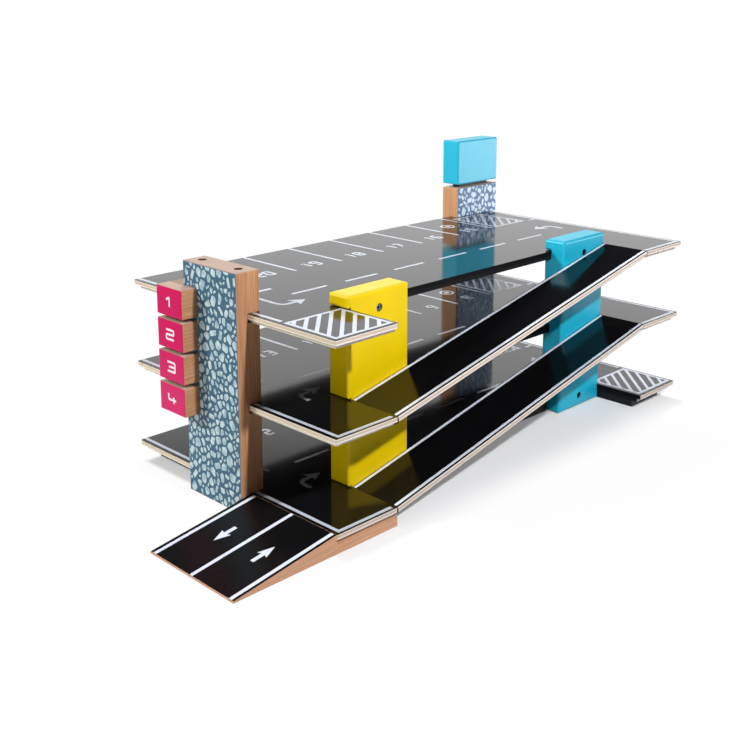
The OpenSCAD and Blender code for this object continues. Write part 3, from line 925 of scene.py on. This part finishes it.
# Rear tower: the face towards the decks, then the outer face, whose print is flatter, because it is the
# rearmost face of the whole part
left, front, _ = REAR_TOWER[0]
right, back, _ = REAR_TOWER[1]
inner = stones(17, 0.55, BETWEEN_DECKS)
outer = stones(14, 0.6, [(MARGIN, RIGHT, MARGIN, TOP)])
shape = merge([laid(inner, lambda u, v, h: (left + u, front - h, v)),
               laid(outer, lambda u, v, h: (right - u, back + h * 0.2, v))])
mesh_piece("rear_tower_stones", shape, rear_stones_painted_sheen, "garage")


# Studio

SOFT_LIGHT = 0.02


def posed(side, up, back, place):
    """Matrix of an object at a place, whose own x, y and z run along these three directions."""
    turn = np.eye(4)
    turn[:3] = np.stack([side, up, back, place], 1)
    return Matrix(turn.tolist())


def floor_material():
    """Pale floor. The camera and gloss see it mixed with white, so it keeps the shadow near the object
    and turns to the white of the background further out: the share of white rises with the distance
    from a rectangle under the decks, 8 times as fast at its ends. To diffuse light it is a plain grey."""
    made = bpy.data.materials.new("studio_floor")
    made.use_nodes = True
    shader = Shader(made.node_tree)
    x, y, z = shader.split(shader.node("ShaderNodeTexCoord", output="Object"))
    seen = shader.larger(shader.ray("Camera"), shader.ray("Transmission"))
    seen = shader.larger(seen, shader.ray("Glossy"))
    paper = shader.noise((x, y, z), 900.0, 2.0)
    pale = shader.mix(seen, (0.47, 0.47, 0.48, 1.0), (0.90, 0.905, 0.93, 1.0))
    plain = shader.node("ShaderNodeBsdfDiffuse", None, {"Color": shader.dim(pale, 0.97 + paper * 0.06)})
    white = shader.node("ShaderNodeEmission", None, {"Color": (1, 1, 1, 1), "Strength": 1.0})
    middle_x = (DECK_LENGTH / 2 - ORIGIN[0]) / 1000
    middle_y = (DECK_DEPTH / 2 - ORIGIN[1]) / 1000
    past_x = shader.larger(abs(x - middle_x) - 0.25, 0.0) * 8
    past_y = shader.larger(abs(y - middle_y) - 0.116, 0.0)
    near = shader.step((past_x * past_x + past_y * past_y) ** 0.5, 0.0, 0.055, 0.20, 0.94)
    away = shader.larger(near, shader.step((x * x + y * y) ** 0.5, 0.4, 0.8))
    surface = shader.node("ShaderNodeMixShader", None, {0: away * seen, 1: plain, 2: white})
    shader.node("ShaderNodeOutputMaterial", None, {"Surface": surface})
    return made


def studio_floor():
    """Flat square 0.4 mm under the part: the corners of a grid of one cell."""
    half, drop = 6.0, -0.0004
    corners = [(-half, -half, drop), (half, -half, drop), (half, half, drop), (-half, half, drop)]
    mesh = bpy.data.meshes.new("studio_floor")
    mesh.from_pydata(corners, [], [(0, 1, 2, 3)])
    mesh.materials.append(floor_material())
    floor = bpy.data.objects.new("studio_floor", mesh)
    scene.collection.objects.link(floor)


def studio_world():
    """White to the camera. Gloss sees a white wall up to about 20 degrees, which turns into a dark ceiling
    by 27 degrees, and only a weak soft light falls on the part from all around."""
    world = bpy.data.worlds.new("studio")
    scene.world = world
    world.use_nodes = True
    shader = Shader(world.node_tree)
    rise = shader.split(shader.node("ShaderNodeTexCoord", output="Generated"))[2]
    wall = shader.step(rise, 0.33, 0.46, 1.06, 0.02)
    seen = shader.larger(shader.ray("Camera"), shader.ray("Transmission"))
    glossy = shader.ray("Glossy")
    strength = seen + (1 - seen) * (glossy * wall + (1 - glossy) * SOFT_LIGHT)
    background = shader.node("ShaderNodeBackground", None, {"Color": (1, 1, 1, 1), "Strength": strength})
    shader.node("ShaderNodeOutputWorld", None, {"Surface": background})


def lamp(name, place, aim, size, power, colour=(1.0, 1.0, 1.0), mirrored=True):
    """Square area lamp at a place, turned towards its aim. Both are in metres in the row frame. One that
    isn't mirrored lights the part without showing in its gloss."""
    data = bpy.data.lights.new(name, "AREA")
    data.size = size
    data.energy = power
    data.color = colour
    made = bpy.data.objects.new(name, data)
    made.visible_glossy = mirrored
    scene.collection.objects.link(made)
    place = np.array(place, float)
    back = place - np.array(aim, float)
    back /= np.linalg.norm(back)
    side = np.cross([0.0, 0.0, 1.0], back)
    side /= np.linalg.norm(side)
    made.matrix_world = posed(side, np.cross(back, side), back, place)


studio_floor()
studio_world()
lamp("key_light", (-0.142, -0.83, 0.79), (0.0, 0.0, 0.1), size=0.045, power=10.6)
lamp("left_light", (-2.20, 1.62, 1.68), (-0.1, 0.0, 0.1), size=0.62, power=75.0)
lamp("right_light", (1.005, -0.485, 0.15), (0.25, 0.1, 0.2), size=0.28, power=3.0, colour=(0.92, 0.96, 1.0))
lamp("back_light", (0.95, 1.13, 0.95), (0.0, 0.05, 0.1), size=0.40, power=34.0, mirrored=False)
lamp("left_fill", (-2.80, -0.08, 0.34), (0.0, -0.08, 0.12), size=0.50, power=13.0, mirrored=False)


# Camera

# From a fit to the photograph: azimuth, downward pitch and roll in degrees, its place, and in a square
# image its focal length and the pixel straight ahead
CAMERA_TURN = (-44.72, 11.00, 0.14)
CAMERA_PLACE = (-521.00, -557.21, 404.86)
IMAGE = 750
FOCAL_PIXELS = 1079.25
MIDDLE_PIXEL = (365, 225)


def set_camera():
    """Camera that looks ahead along its azimuth and pitch, turned about that line by its roll. Its image
    is shifted until the pixel straight ahead is where the fit has it."""
    azimuth, pitch, roll = (math.radians(v) for v in CAMERA_TURN)
    place = (np.array(CAMERA_PLACE) - np.array(ORIGIN)) / 1000
    ahead = np.array([-math.sin(azimuth) * math.cos(pitch), math.cos(azimuth) * math.cos(pitch),
                      -math.sin(pitch)])
    right = np.cross(ahead, [0.0, 0.0, 1.0])
    right /= np.linalg.norm(right)
    down = np.cross(ahead, right)
    side = math.cos(roll) * right + math.sin(roll) * down
    low = -math.sin(roll) * right + math.cos(roll) * down
    data = bpy.data.cameras.new("camera")
    data.sensor_fit = "HORIZONTAL"
    data.sensor_width = 36.0
    data.lens = FOCAL_PIXELS / IMAGE * data.sensor_width
    data.shift_x = (IMAGE / 2 - MIDDLE_PIXEL[0]) / IMAGE
    data.shift_y = (MIDDLE_PIXEL[1] - IMAGE / 2) / IMAGE
    data.clip_start = 0.01
    data.clip_end = 50.0
    camera = bpy.data.objects.new("camera", data)
    scene.collection.objects.link(camera)
    camera.matrix_world = posed(side, -low, -ahead, place)
    scene.camera = camera


set_camera()
scene.view_settings.view_transform = "Standard"
